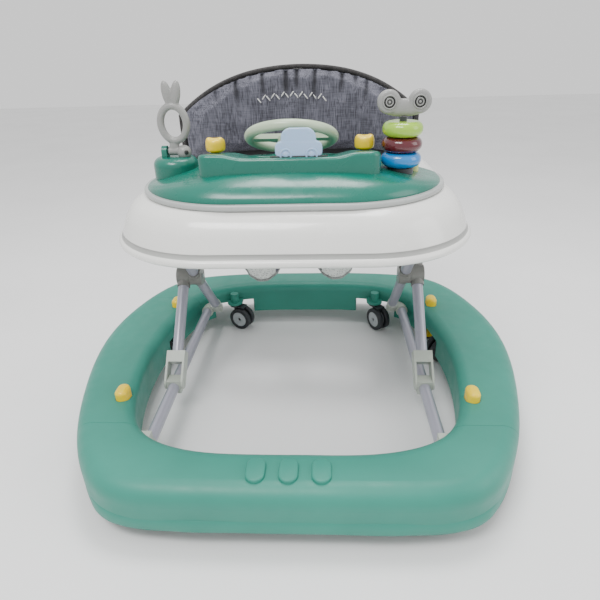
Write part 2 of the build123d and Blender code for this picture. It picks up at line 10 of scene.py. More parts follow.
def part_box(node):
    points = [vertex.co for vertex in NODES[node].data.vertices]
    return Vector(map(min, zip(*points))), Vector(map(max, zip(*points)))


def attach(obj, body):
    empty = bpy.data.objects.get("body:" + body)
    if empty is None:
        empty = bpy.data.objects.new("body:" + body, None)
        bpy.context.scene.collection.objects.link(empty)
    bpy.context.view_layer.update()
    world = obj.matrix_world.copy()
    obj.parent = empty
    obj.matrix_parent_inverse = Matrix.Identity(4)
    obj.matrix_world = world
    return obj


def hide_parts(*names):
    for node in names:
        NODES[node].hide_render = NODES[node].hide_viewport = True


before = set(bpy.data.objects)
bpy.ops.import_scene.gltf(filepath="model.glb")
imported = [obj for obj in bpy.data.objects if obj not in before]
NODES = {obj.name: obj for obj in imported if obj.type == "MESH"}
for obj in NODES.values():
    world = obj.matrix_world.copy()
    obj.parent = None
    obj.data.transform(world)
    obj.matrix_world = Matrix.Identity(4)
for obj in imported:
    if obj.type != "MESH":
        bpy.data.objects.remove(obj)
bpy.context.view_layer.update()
MM = 0.001

# ---- camera, in metres ----
CAMERA_AT = (0.047885, -0.777043, 0.569890)
CAMERA_RIGHT = (0.998701, 0.043024, -0.027292)
CAMERA_UP = (0.005203, 0.446739, 0.894649)
CAMERA_FORWARD = (-0.050684, 0.893629, -0.445922)
CAMERA_LENS, CAMERA_SENSOR = 30, 36

# ---- casters: the way each one trails, in degrees, and the twin wheels, in millimetres ----
TRAILS = {"rear_left": -23, "rear_right": -58, "side_left": -20,
          "side_right": 200, "front_left": 60, "front_right": 120}
TYRE = [(17, 3.6), (23.2, 3.6), (24.6, 4.6), (25, 6.5), (25, 11.5), (24.6, 13.4), (23.2, 14.4),
        (20.6, 14.5), (20, 13.9), (17, 13.9)]
DISC = [(3, 3.9), (17.4, 3.9), (19.9, 5), (19.9, 13.2), (18.8, 13.8), (17.6, 13.3), (11, 12.9),
        (7.2, 13.4), (6.2, 14.3), (5, 14.5), (4.2, 14.1), (3.4, 12.6), (3.2, 11)]
AXLE = [(3.1, 11), (3.1, 3.5), (3.1, 0)]
AXLE_CAP = [(0, 11.4), (3.15, 11.4), (3.15, 12.1), (1.6, 12.4), (0, 12.4)]

# ---- backrest, in millimetres ----
BACK_HALF, BACK_LOW, BACK_TOP = 211, 392, 547
BACK_CENTRE_Y, PAD_MID_R = -179, 401
PLEATS = [(-150, 26, 0.16, 2.6), (-113, 42, 0.10, 4.2), (-86, 24, 0.05, 2.6), (-65, 38, 0.05, 4.4),
          (-40, 22, 0, 2.4), (-22, 46, 0, 4.8), (-2, 40, -0.02, 4.2), (31, 52, -0.05, 5.0),
          (56, 24, -0.05, 2.4), (80, 34, -0.08, 3.6), (104, 22, -0.1, 2.4), (124, 38, -0.12, 3.6),
          (154, 26, -0.16, 2.6)]
CREASES = [(-150, 470, -96, 405, 1.6), (-58, 450, -30, 400, 1.0), (96, 470, 70, 402, 1.2),
           (150, 462, 128, 404, 1.2)]

# ---- plans, in millimetres: half width, front, rear, front corner radius, rear corner radius ----
TRAY_PLAN = (258, -195, 275, 155, 110)
OPENING = (156, 22, 204, 60, 60)
TRIM_PLAN = (222, -161, 10, 150, 18)
CONSOLE_PLAN = (122, -113, -2, 14, 14)
SEAT_RIM, SEAT_MIDDLE = (151, 25, 199, 58, 58), (143, 27, 164, 62, 62)
SEAT_LOW, SEAT_FLOOR = (130, 31, 154, 56, 56), (112, 40, 142, 48, 48)
LEG_HOLE_X, LEG_HOLE_Y, LEG_HOLE_R = 66, 78, 40
BUNNY_RING = (-172, -18, 480)
RING_LINE = [(350, -130), (300, -262), (240, -330), (150, -346), (60, -347), (0, -347)]


# ---------------------------------------------------------------- meshes

def colour(code):
    """The linear colour of a six-digit sRGB code."""
    parts = [int(code[k:k + 2], 16) / 255 for k in (0, 2, 4)]
    linear = [p / 12.92 if p <= 0.04045 else ((p + 0.055) / 1.055) ** 2.4 for p in parts]
    return (*linear, 1)


def make_mesh(name, points, faces):
    """A smooth mesh from points in millimetres, with doubles merged."""
    mesh = bpy.data.meshes.new(name)
    mesh.from_pydata([Vector(p) * MM for p in points], [], faces)
    work = bmesh.new()
    work.from_mesh(mesh)
    bmesh.ops.remove_doubles(work, verts=work.verts, dist=1e-6)
    bmesh.ops.recalc_face_normals(work, faces=work.faces)
    work.to_mesh(mesh)
    work.free()
    mesh.polygons.foreach_set("use_smooth", [True] * len(mesh.polygons))
    return mesh


def add_piece(name, mesh, body, *materials):
    """An object that rides on a body of the frame."""
    piece = bpy.data.objects.new(name, mesh)
    bpy.context.scene.collection.objects.link(piece)
    for material in materials:
        mesh.materials.append(material)
    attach(piece, body)
    return piece


def add_shape(name, shape, body, material):
    """An object made from a shape's points and faces."""
    return add_piece(name, make_mesh(name, *shape), body, material)


def both_sides(profile):
    """A wheel's outline (radius, distance along the axle) on each side of the middle."""
    return [[(r, side * a) for r, a in profile] for side in (-1, 1)]


def grid_faces(rows, columns, wrap_rows=False, wrap_columns=False):
    """The quads of a grid whose points are stored row by row."""
    faces = []
    for i in range(rows if wrap_rows else rows - 1):
        for j in range(columns if wrap_columns else columns - 1):
            i2, j2 = (i + 1) % rows, (j + 1) % columns
            faces.append((i * columns + j, i * columns + j2, i2 * columns + j2, i2 * columns + j))
    return faces


def lathe(profiles, place, steps=48):
    """Points and faces of outlines (radius, height) turned round the Z axis of place."""
    points, faces = [], []
    for profile in profiles:
        start = len(points)
        for radius, height in profile:
            for k in range(steps):
                angle = 2 * math.pi * k / steps
                spot = Vector((radius * math.cos(angle), radius * math.sin(angle), height))
                points.append(place @ spot)
        for face in grid_faces(len(profile), steps, wrap_columns=True):
            faces.append(tuple(start + k for k in face))
    return points, faces


def facing(at, axis):
    """A place at a point in millimetres whose Z axis points along axis."""
    return Matrix.Translation(at) @ Vector(axis).to_track_quat("Z", "Y").to_matrix().to_4x4()


def middle(node):
    """The middle of a node's box, in millimetres."""
    low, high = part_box(node)
    return (Vector(low) + Vector(high)) / 2 / MM


def plan_outline(plan, count):
    """Points (x, y, normal x, normal y) round a plan, an eighth of them on each arc and each side."""
    half, front, rear, r_front, r_rear = plan
    corners = [(half - r_front, front + r_front, r_front, -90),
               (half - r_rear, rear - r_rear, r_rear, 0),
               (r_rear - half, rear - r_rear, r_rear, 90),
               (r_front - half, front + r_front, r_front, 180)]
    arcs, part = [], count // 8
    for x, y, r, first in corners:
        turns = [math.radians(first + 90 * k / part) for k in range(part + 1)]
        normals = [(math.cos(a), math.sin(a)) for a in turns]
        arcs.append([(x + r * nx, y + r * ny, nx, ny) for nx, ny in normals])
    outline = []
    for arc, following in zip(arcs, [*arcs[1:], arcs[0]]):
        a, b = arc[-1], following[0]
        outline += arc[:-1]
        outline += [tuple(p + (q - p) * k / part for p, q in zip(a, b)) for k in range(part)]
    return outline


def inset(plan, distance):
    """A plan moved in by a distance."""
    half, front, rear, r_front, r_rear = plan
    return (half - distance, front + distance, rear - distance,
            max(r_front - distance, 2), max(r_rear - distance, 2))


def smooth_line(points, parts):
    """A smooth line through points of any dimension."""
    padded = [points[0], *points, points[-1]]
    line = []
    for p0, p1, p2, p3 in zip(padded, padded[1:], padded[2:], padded[3:]):
        for k in range(parts):
            t = k / parts
            line.append(tuple(0.5 * (2 * b + (c - a) * t + (2 * a - 5 * b + 4 * c - d) * t * t
                                     + (3 * b - a - 3 * c + d) * t ** 3)
                              for a, b, c, d in zip(p0, p1, p2, p3)))
    return [*line, tuple(points[-1])]


def slab(plan, place, thick, edge):
    """Points and faces of a plate with rounded edges, its plan in the X-Y plane of place."""
    turns = [math.radians(15 * k) for k in range(7)]
    side = [(edge * (1 - math.cos(a)), thick / 2 - edge * (1 - math.sin(a))) for a in turns]
    levels = [(d, -z) for d, z in reversed(side)] + side
    points = []
    for distance, z in levels:
        points += [place @ Vector((x, y, z)) for x, y, _, _ in plan_outline(inset(plan, distance), 96)]
    faces = grid_faces(len(levels), 96, wrap_columns=True)
    return points, [*faces, tuple(range(96)), tuple(range(len(points) - 96, len(points)))]


def ball(radii, place):
    """Points and faces of an ellipsoid."""
    turns = [math.pi * (k / 16 - 0.5) for k in range(17)]
    points, faces = lathe([[(math.cos(a), math.sin(a)) for a in turns]], Matrix(), 32)
    return [place @ Vector((p.x * radii[0], p.y * radii[1], p.z * radii[2])) for p in points], faces


def fused(name, shapes, voxel, rounds, body, material):
    """Closed shapes melted into one moulding with soft inner corners."""
    points, faces = [], []
    for more, sides in shapes:
        faces += [tuple(len(points) + k for k in side) for side in sides]
        points += more
    piece = add_piece(name, make_mesh(name, points, faces), body, material)
    remesh = piece.modifiers.new("Melt", "REMESH")
    remesh.mode = "VOXEL"
    remesh.voxel_size = voxel * MM
    soften = piece.modifiers.new("Soften", "SMOOTH")
    soften.factor, soften.iterations = 0.5, rounds
    bake(piece)
    return piece


def edge_band(name, plan, section, body, material):
    """A closed moulding: a section (outward, z) carried round a plan."""
    outline = plan_outline(plan, 256)
    points = [(x + nx * out, y + ny * out, z) for out, z in section for x, y, nx, ny in outline]
    faces = grid_faces(len(section), len(outline), wrap_rows=True, wrap_columns=True)
    return add_piece(name, make_mesh(name, points, faces), body, material)


def cord_tube(name, points, radius, body, material, closed=False):
    """A round piping along points in millimetres."""
    curve = bpy.data.curves.new(name, "CURVE")
    curve.dimensions = "3D"
    curve.bevel_depth = radius * MM
    curve.bevel_resolution = 4
    curve.use_fill_caps = not closed
    spline = curve.splines.new("POLY")
    spline.points.add(len(points) - 1)
    for spot, point in zip(spline.points, points):
        spot.co = (*(Vector(point) * MM), 1)
    spline.use_cyclic_u = closed
    spline.use_smooth = True
    piece = bpy.data.objects.new(name, curve)
    bpy.context.scene.collection.objects.link(piece)
    curve.materials.append(material)
    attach(piece, body)
    return piece


def bake(piece):
    """Makes the piece's modifiers part of its mesh."""
    depsgraph = bpy.context.evaluated_depsgraph_get()
    mesh = bpy.data.meshes.new_from_object(piece.evaluated_get(depsgraph))
    piece.modifiers.clear()
    piece.data = mesh
    mesh.polygons.foreach_set("use_smooth", [True] * len(mesh.polygons))


def step(value, low, high):
    """A smooth 0 to 1 between low and high."""
    share = min(max((value - low) / (high - low), 0), 1)
    return share * share * (3 - 2 * share)


# ---------------------------------------------------------------- materials

class Nodes:
    """One material's node tree, with short calls for the nodes that are used again and again."""

    def __init__(self, name, **sockets):
        self.material = bpy.data.materials.new(name)
        self.material.use_nodes = True
        self.tree = self.material.node_tree
        self.shader = self.tree.nodes["Principled BSDF"]
        self.place = self.node("ShaderNodeTexCoord").outputs["Object"]
        for socket, value in sockets.items():
            self.shader.inputs[socket.replace("_", " ")].default_value = value

    def node(self, kind, **inputs):
        made = self.tree.nodes.new(kind)
        for socket, value in inputs.items():
            target = made.inputs[socket.replace("_", " ")]
            if isinstance(value, bpy.types.NodeSocket):
                self.tree.links.new(value, target)
            else:
                target.default_value = value
        return made

    def scaled(self, x, y, z):
        """Object coordinates stretched along each axis."""
        made = self.node("ShaderNodeMapping", Vector=self.place)
        made.inputs["Scale"].default_value = (x, y, z)
        return made.outputs["Vector"]

    def noise(self, scale, detail=2.0, vector=None, rough=0.5):
        made = self.node("ShaderNodeTexNoise", Vector=vector or self.place, Scale=scale,
                         Detail=detail, Roughness=rough)
        return made.outputs["Fac"]

    def ramp(self, value, low, high, to_low=0.0, to_high=1.0):
        made = self.node("ShaderNodeMapRange", Value=value)
        made.inputs["From Min"].default_value = low
        made.inputs["From Max"].default_value = high
        made.inputs["To Min"].default_value = to_low
        made.inputs["To Max"].default_value = to_high
        return made.outputs["Result"]

    def maths(self, operation, a, b):
        made = self.tree.nodes.new("ShaderNodeMath")
        made.operation = operation
        for socket, value in zip(made.inputs, (a, b)):
            if isinstance(value, bpy.types.NodeSocket):
                self.tree.links.new(value, socket)
            else:
                socket.default_value = value
        return made.outputs["Value"]

    def blend(self, share, first, second):
        made = self.tree.nodes.new("ShaderNodeMix")
        made.data_type = "RGBA"
        sockets = (made.inputs["Factor"], made.inputs[6], made.inputs[7])
        for socket, value in zip(sockets, (share, first, second)):
            if isinstance(value, bpy.types.NodeSocket):
                self.tree.links.new(value, socket)
            else:
                socket.default_value = value
        return made.outputs[2]

    def bump(self, height, strength, distance, under=None):
        made = self.node("ShaderNodeBump", Height=height, Strength=strength, Distance=distance)
        if under:
            self.tree.links.new(under, made.inputs["Normal"])
        return made.outputs["Normal"]

    def finish(self, **links):
        for socket, value in links.items():
            self.tree.links.new(value, self.shader.inputs[socket.replace("_", " ")])
        return self.material


def shade(code, factor):
    """A colour made darker or lighter."""
    return (*(min(part * factor, 1) for part in colour(code)[:3]), 1)


def plastic(name, code, rough, coat=0.0, grain=0.00004, grain_scale=1400, mottle=0.06, soft=0.0):
    """Moulded plastic: faint mottling, fine grain and slightly uneven gloss."""
    made = Nodes(name, Coat_Weight=coat, Coat_Roughness=0.08, Subsurface_Weight=soft,
                 Subsurface_Scale=0.004)
    tone = made.ramp(made.noise(11, 4), 0.3, 0.7)
    base = made.blend(tone, shade(code, 1 - mottle), shade(code, 1 + mottle))
    scuff = made.ramp(made.noise(160, 6, None, 0.7), 0.66, 0.8, 0, 0.12)
    base = made.blend(scuff, base, shade(code, 1.35))
    gloss = made.ramp(made.noise(46, 5), 0.3, 0.7, rough - 0.05, rough + 0.07)
    waves = made.bump(made.noise(24, 1), 0.12, 0.0006)
    normal = made.bump(made.noise(grain_scale, 3), 0.5, grain, waves)
    return made.finish(Base_Color=base, Roughness=gloss, Normal=normal)


def painted_metal(name, code, rough, metal):
    """Painted or bare metal tube with fine lengthways drawing marks."""
    made = Nodes(name, Metallic=metal, Coat_Weight=0.35, Coat_Roughness=0.12)
    tone = made.ramp(made.noise(1, 3, made.scaled(40, 9, 9)), 0.3, 0.7)
    base = made.blend(tone, shade(code, 0.93), shade(code, 1.07))
    gloss = made.ramp(made.noise(1, 4, made.scaled(600, 30, 30)), 0.3, 0.7, rough - 0.06, rough + 0.08)
    normal = made.bump(made.noise(1, 3, made.scaled(900, 60, 60)), 0.25, 0.00004)
    return made.finish(Base_Color=base, Roughness=gloss, Normal=normal)


def rubber(name, code, rough=0.55):
    """Tyre and pad rubber: matt, dusty in patches, finely grained."""
    made = Nodes(name)
    dust = made.ramp(made.noise(90, 5), 0.5, 0.75, 0, 0.35)
    base = made.blend(dust, colour(code), shade(code, 2.4))
    gloss = made.ramp(made.noise(60, 4), 0.3, 0.7, rough - 0.08, rough + 0.12)
    normal = made.bump(made.noise(2200, 3), 0.6, 0.00008)
    return made.finish(Base_Color=base, Roughness=gloss, Normal=normal)


def heather(name, dark, light, sheen=0.15, painted_fold_shade=False):
    """Heather woven cloth: long threads of mixed tones; when asked, painted shade darkens the folds that
    the mesh's fold attribute marks.
    """
    made = Nodes(name, Roughness=0.86, Sheen_Weight=sheen, Sheen_Roughness=0.5)
    upright = made.noise(1, 2, made.scaled(760, 760, 46))
    across = made.noise(1, 2, made.scaled(52, 52, 760))
    threads = made.maths("ADD", made.maths("MULTIPLY", upright, 0.7),
                         made.maths("MULTIPLY", across, 0.3))
    patches = made.ramp(made.noise(26, 3), 0.3, 0.7, -0.05, 0.05)
    tone = made.ramp(made.maths("ADD", threads, patches), 0.38, 0.62)
    base = made.blend(tone, colour(dark), colour(light))
    if painted_fold_shade:
        # Painted shade: the cloth turns towards a deep gray where the fold attribute marks a pleat or
        # crease.
        depth = made.node("ShaderNodeAttribute")
        depth.attribute_name = "fold"
        base = made.blend(made.ramp(depth.outputs["Fac"], 0, 1, 0, 0.85), base, shade(dark, 0.35))
    warp = made.noise(1, 1, made.scaled(1500, 1500, 300))
    weft = made.noise(1, 1, made.scaled(300, 300, 1500))
    normal = made.bump(made.maths("ADD", warp, weft), 0.55, 0.00022)
    return made.finish(Base_Color=base, Normal=normal)


def open_mesh(name, code, gap):
    """White spacer mesh: rows of small dark holes between rounded threads."""
    made = Nodes(name, Roughness=0.72, Sheen_Weight=0.2)
    cells = made.node("ShaderNodeTexVoronoi", Vector=made.scaled(360, 360, 250), Scale=1.0,
                      Randomness=0.35)
    hole = made.ramp(cells.outputs["Distance"], 0.24, 0.42, 1, 0)
    base = made.blend(hole, colour(code), colour(gap))
    normal = made.bump(cells.outputs["Distance"], 0.7, 0.0005)
    return made.finish(Base_Color=base, Normal=normal)


def make_materials():
    """Every material by the name that the pieces and nodes ask for."""
    return {
        "teal": plastic("ring_teal", "2A8372", 0.46, coat=0.0, grain=0.00007, grain_scale=900),
        "tray_teal": plastic("tray_teal", "0F6A5A", 0.26, coat=0.15, grain=0.000012, mottle=0.04),
        "white": plastic("shell_white", "E6E6E2", 0.22, coat=0.4, grain=0.000012, mottle=0.015),
        # A gray that stands in for the shade in the recessed strip under the tray's skirt: painted
        # shade.
        "recess": plastic("recess_painted_shade", "A6A7A4", 0.4),
        "trim": plastic("trim_gray", "A9ADAB", 0.3, coat=0.2, mottle=0.03),
        "tube": painted_metal("tube_lilac_gray", "A3A3B0", 0.34, 0.25),
        "joint": plastic("joint_gray", "AFB6AC", 0.36, coat=0.1),
        "hub": plastic("hub_gray", "7A7A76", 0.38),
        "yellow": plastic("knob_yellow", "F2CE00", 0.34, coat=0.25, mottle=0.03, soft=0.08),
        "rubber": rubber("pad_rubber", "2B2C2E"),
        "tyre": rubber("tyre_rubber", "2A2D31", 0.5),
        "dark": plastic("dark_plastic", "2E3236", 0.36, coat=0.15),
        "disc": plastic("disc_gray", "A9AEB1", 0.32, coat=0.2),
        "steel": painted_metal("pin_steel", "B9BABC", 0.28, 0.95),
        "wheel_green": plastic("wheel_pale_green", "AEBFA3", 0.33, coat=0.2, mottle=0.03),
        "car_blue": plastic("car_pale_blue", "9FBCDD", 0.30, coat=0.3, mottle=0.02, soft=0.15),
        "toy_gray": plastic("toy_gray", "8D8D8B", 0.36, coat=0.1, mottle=0.03),
        "eye": plastic("eye_dark", "303030", 0.3, coat=0.2),
        "bead_blue": plastic("bead_blue", "0F7CC4", 0.16, coat=0.6, mottle=0.03),
        "bead_red": plastic("bead_red", "560F1C", 0.16, coat=0.6, mottle=0.03),
        "bead_green": plastic("bead_green", "97C136", 0.2, coat=0.5, mottle=0.03),
        "knob_lime": plastic("knob_lime", "D5D98C", 0.35),
        "board": plastic("back_board", "3A3A3D", 0.6, grain=0.0001, grain_scale=700),
        "fabric": heather("fabric_heather", "393942", "6C6C78"),
        # The cushion cloth carries painted shade in its pleats and creases.
        "cushion": heather("cushion_heather", "393942", "6C6C78", painted_fold_shade=True),
        "binding": heather("binding_black", "1C1B1C", "3A3838", 0.1),
        "thread": heather("thread_white", "BDBDBD", "E4E4E2", 0.3),
        "piping": heather("piping_gray", "7A7D7C", "A0A3A1", 0.2),
        "mesh": open_mesh("seat_mesh", "E8EAE6", "A9ADAA"),
    }


NODE_LOOKS = [
    ("ring_", "teal"), ("rail_", "tube"), ("rail_sockets", "joint"), ("rear_elbows", "joint"),
    ("brake_knob", "yellow"), ("brake_pad", "rubber"), ("caster_fork", "dark"),
    ("caster_wheels", "tyre"), ("inner_leg", "tube"), ("outer_leg", "tube"),
    ("inner_leg_feet", "joint"), ("outer_leg_feet", "joint"),
    ("inner_cross_tube", "tube"), ("outer_cross_tube", "tube"), ("inner_hubs", "hub"),
    ("outer_hubs", "hub"), ("centre_pins", "steel"), ("lower_sliders", "joint"),
    ("upper_sliders", "joint"), ("tray_skirt", "white"), ("tray_tracks", "trim"),
    ("rear_brackets", "trim"), ("backrest_pad", "fabric"), ("backrest_board", "board"),
    ("seat_bucket", "fabric"), ("toy_tray", "tray_teal"), ("tray_trim", "trim"),
    ("bead_post", "dark"), ("frog_head", "toy_gray"), ("bunny_pod", "tray_teal"),
    ("steering_wheel", "wheel_green"), ("button_", "yellow"), ("slide_car", "car_blue"),
    ("blue_bead", "bead_blue"), ("red_bead", "bead_red"), ("green_bead", "bead_green"),
    ("bunny_ring", "toy_gray")]


def dress_nodes(looks):
    """Gives every CAD node the material of its longest matching prefix."""
    for name, node in NODES.items():
        fits = [row for row in NODE_LOOKS if name.startswith(row[0])]
        _, look = max(fits, key=lambda row: len(row[0]))
        for slot in node.material_slots:
            slot.material = looks[look]


# ---------------------------------------------------------------- wheels

def twin_wheels(looks):
    """Each caster's two wheels: rubber tyres on dished discs, joined by an axle."""
    for name, trail in TRAILS.items():
        angle = math.radians(trail)
        place = facing(middle(f"caster_wheels_{name}"), (-math.sin(angle), math.cos(angle), 0))
        body = f"wheels_{name}"
        tyres = lathe(both_sides([*TYRE, TYRE[0]]), place, 64)
        piece = add_shape(f"tyres_{name}", tyres, body, looks["tyre"])
        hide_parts(f"caster_wheels_{name}")
        add_shape(f"discs_{name}", lathe(both_sides([*DISC, *AXLE]), place, 64), body, looks["disc"])
        add_shape(f"axle_caps_{name}", lathe(both_sides(AXLE_CAP), place, 24), body, looks["eye"])


# ---------------------------------------------------------------- backrest

def arch(x):
    """The height of the backrest's top edge at x."""
    return BACK_TOP - 0.00103 * x ** 2 - 1.46e-8 * x ** 4


def on_back(x, z, radius):
    """A point of the curved backrest."""
    return (x, BACK_CENTRE_Y + math.sqrt(radius ** 2 - x ** 2), z)


def inflate(piece, voxel, pressure, cap):
    """Puffs a closed piece up as a stuffed pad, no point moving further than cap."""
    remesh = piece.modifiers.new("Remesh", "REMESH")
    remesh.mode = "VOXEL"
    remesh.voxel_size = voxel * MM
    bake(piece)
    start = [v.co.copy() for v in piece.data.vertices]
    cloth = piece.modifiers.new("Cloth", "CLOTH")
    cloth.settings.quality = 5
    cloth.settings.use_pressure = True
    cloth.settings.uniform_pressure_force = pressure
    cloth.settings.effector_weights.gravity = 0
    for number in range(1, 21):
        bpy.context.scene.frame_set(number)
    puffed = piece.evaluated_get(bpy.context.evaluated_depsgraph_get())
    moved = [v.co.copy() for v in puffed.data.vertices]
    piece.modifiers.remove(cloth)
    bpy.context.scene.frame_set(1)
    for vertex, before, after in zip(piece.data.vertices, start, moved):
        shift = after - before
        if shift.length > cap * MM:
            shift *= cap * MM / shift.length
        vertex.co = before + shift


def gather(x, z):
    """How deep the cloth lies in its pleats, creases and soft waves at a point of the front."""
    top = arch(x)
    depth = 0
    for at, length, slant, deep in PLEATS:
        below = arch(at) - z
        width = 2.8 + 0.085 * max(below, 0)
        off = (x - at - slant * below) / width
        depth += 2.1 * deep * math.exp(-off * off) * (1 - step(below, 10, 2 * length))
    for x0, z0, x1, z1, deep in CREASES:
        run = Vector((x1 - x0, z1 - z0))
        spot = Vector((x - x0, z - z0))
        share = min(max(spot.dot(run) / run.dot(run), 0), 1)
        away = (spot - run * share).length / 4
        depth += deep * math.exp(-away * away) * math.sin(math.pi * share)
    waves = noise.noise(Vector((x / 34, z / 58, 1.7))) + 0.5 * noise.noise(Vector((x / 13, z / 30, 4.2)))
    puff = 0.9 * math.sin(x / 5.2) * (1 - step(top - z, 4, 26))
    return depth + 2.2 * waves + puff


def rounded(steps_in, width):
    """How full a pad is, from 0 at its edge to 1 at a width inside it."""
    share = min(steps_in / width, 1)
    return share * (2 - share)


def cushion_shape():
    """The cushion before it is stuffed: a thin curved pillow, closed at its edges."""
    columns, rows = 72, 26
    points = []
    for side, fullness in ((-1, 6.5), (1, 5.5)):
        for i in range(columns + 1):
            x = BACK_HALF * 0.985 * (2 * i / columns - 1)
            for j in range(rows + 1):
                z = BACK_LOW + 2 + (arch(x) - BACK_LOW - 2.5) * j / rows
                full = math.sqrt(rounded(min(i, columns - i), 5) * rounded(min(j, rows - j), 4))
                points.append(on_back(x, z, PAD_MID_R + side * (1 + fullness * full)))
    count, tall = (columns + 1) * (rows + 1), rows + 1
    faces = grid_faces(columns + 1, tall)
    faces += [tuple(count + k for k in reversed(face)) for face in faces]
    rim = [i * tall for i in range(columns + 1)]
    rim += [columns * tall + j for j in range(1, tall)]
    rim += [i * tall + rows for i in range(columns - 1, -1, -1)]
    rim += list(range(rows - 1, 0, -1))
    faces += [(a, b, b + count, a + count) for a, b in zip(rim, [*rim[1:], rim[0]])]
    return points, faces


def backrest_cushion(looks):
    """The padded cover: stuffed by simulation, then gathered along its top edge."""
    cushion = add_shape("backrest_cushion", cushion_shape(), "tray", looks["cushion"])
    inflate(cushion, 4.5, 4, 5)
    cushion.modifiers.new("Fine", "SUBSURF").levels = 1
    bake(cushion)
    # The fold attribute is a painted-shade mask: it says how much the cloth is darkened in each pleat
    # and crease.
    fold = cushion.data.attributes.new("fold", "FLOAT", "POINT")
    for vertex in cushion.data.vertices:
        x, y, z = vertex.co / MM
        out = Vector((x, y - BACK_CENTRE_Y))
        front_share = 1 - step(out.length, PAD_MID_R - 4, PAD_MID_R + 2)
        depth = gather(x, z)
        shift = out.normalized() * depth * front_share
        vertex.co += Vector((shift.x, shift.y, 0)) * MM
        fold.data[vertex.index].value = step(depth, 1.5, 9) * front_share
    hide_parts("backrest_pad")
    return cushion


def backrest_trim(looks, cushion):
    """The black binding along the arch and the row of stitched dashes in the middle."""
    radius = PAD_MID_R + 4
    path = [on_back(x, arch(x) - 1.8, radius) for x in range(-BACK_HALF, BACK_HALF + 1, 6)]
    ends = [[on_back(side * BACK_HALF, z, PAD_MID_R + 5.5) for z in range(396, int(arch(BACK_HALF)), 6)]
            for side in (-1, 1)]
    path = [*ends[0], *path, *reversed(ends[1])]
    binding = cord_tube("backrest_binding", path, 3.8, "tray", looks["binding"])
    points, faces = [], []
    for k in range(15):
        x = -72 + 8.6 * k
        z = 489 + 9 * math.cos((x + 12) / 48) + (1.6 if k % 2 else -1.6)
        hit, spot, normal, _ = cushion.ray_cast(Vector((x, 0, z)) * MM, Vector((0, 1, 0)))
        if not hit:
            continue
        tilt = math.radians(52 if k % 2 else -52)
        run = Vector((math.cos(tilt), 0, math.sin(tilt)))
        place = facing(spot / MM + normal * 0.5, run)
        dash = [(0, -5.6), (0.7, -5.3), (1.1, -4.4), (1.2, 0), (1.1, 4.4), (0.7, 5.3), (0, 5.6)]
        more, sides = lathe([dash], place, 10)
        faces += [tuple(len(points) + i for i in side) for side in sides]
        points += more
    stitches = add_shape("backrest_stitches", (points, faces), "tray", looks["thread"])


# ---------------------------------------------------------------- seat

def seat_rows():
    """The levels of the hanging seat: z, plan and how much the cloth is gathered there."""
    return [(389.0, (160, 17, 208, 64, 64), 0), (391.2, (158, 19, 206, 62, 62), 0),
            (391.4, (153, 23, 201, 59, 59), 0), (388, SEAT_RIM, 0), (376, (150, 25, 194, 60, 60), 0.4),
            (360, (146, 26, 178, 61, 61), 0.8), (346, SEAT_MIDDLE, 1.0),
            (326, (140, 28, 161, 60, 60), 1.3),
            (304, (137, 29, 158, 58, 58), 1.6), (284, SEAT_LOW, 1.6), (264, (124, 34, 150, 54, 54), 1.2),
            (248, SEAT_FLOOR, 0.8), (240, (98, 48, 132, 40, 40), 0.4), (236, (76, 58, 118, 29, 29), 0.2),
            (234, (48, 68, 104, 17, 17), 0), (233, (20, 76, 92, 7, 7), 0)]


def seat_sling(looks):
    """The hanging cloth seat, with a round opening for each leg."""
    count = 240
    levels = seat_rows()
    points = []
    for (z0, plan0, fold0), (z1, plan1, fold1) in zip(levels, levels[1:]):
        first, second = plan_outline(plan0, count), plan_outline(plan1, count)
        for part in range(4):
            share = part / 4
            z, fold = z0 + (z1 - z0) * share, fold0 + (fold1 - fold0) * share
            for k, (a, b) in enumerate(zip(first, second)):
                x, y, nx, ny = (p + (q - p) * share for p, q in zip(a, b))
                ripple = fold * (math.sin(k * 0.43) + 0.6 * math.sin(k * 0.97 + z / 30))
                points.append((x + nx * ripple, y + ny * ripple, z))
    rows = len(points) // count
    work = bmesh.new()
    mesh = make_mesh("seat_sling", points, grid_faces(rows, count, wrap_columns=True))
    work.from_mesh(mesh)
    for side in (-1, 1):
        hole = Vector((side * LEG_HOLE_X, LEG_HOLE_Y)) * MM
        inside = [f for f in work.faces if f.calc_center_median().z < 0.262
                  and (f.calc_center_median().xy - hole).length < (LEG_HOLE_R - 1) * MM]
        bmesh.ops.delete(work, geom=inside, context="FACES")
        for vertex in work.verts:
            off = vertex.co.xy - hole
            if vertex.co.z < 0.264 and vertex.is_boundary and off.length < (LEG_HOLE_R + 7) * MM:
                vertex.co.xy = hole + off.normalized() * LEG_HOLE_R * MM
    bmesh.ops.delete(work, geom=[v for v in work.verts if not v.link_faces], context="VERTS")
    work.to_mesh(mesh)
    work.free()
    sling = add_piece("seat_sling", mesh, "tray", looks["fabric"])
    thick = sling.modifiers.new("Thick", "SOLIDIFY")
    thick.thickness = 1.6 * MM
    thick.offset = -1
    bake(sling)
    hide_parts("seat_bucket")


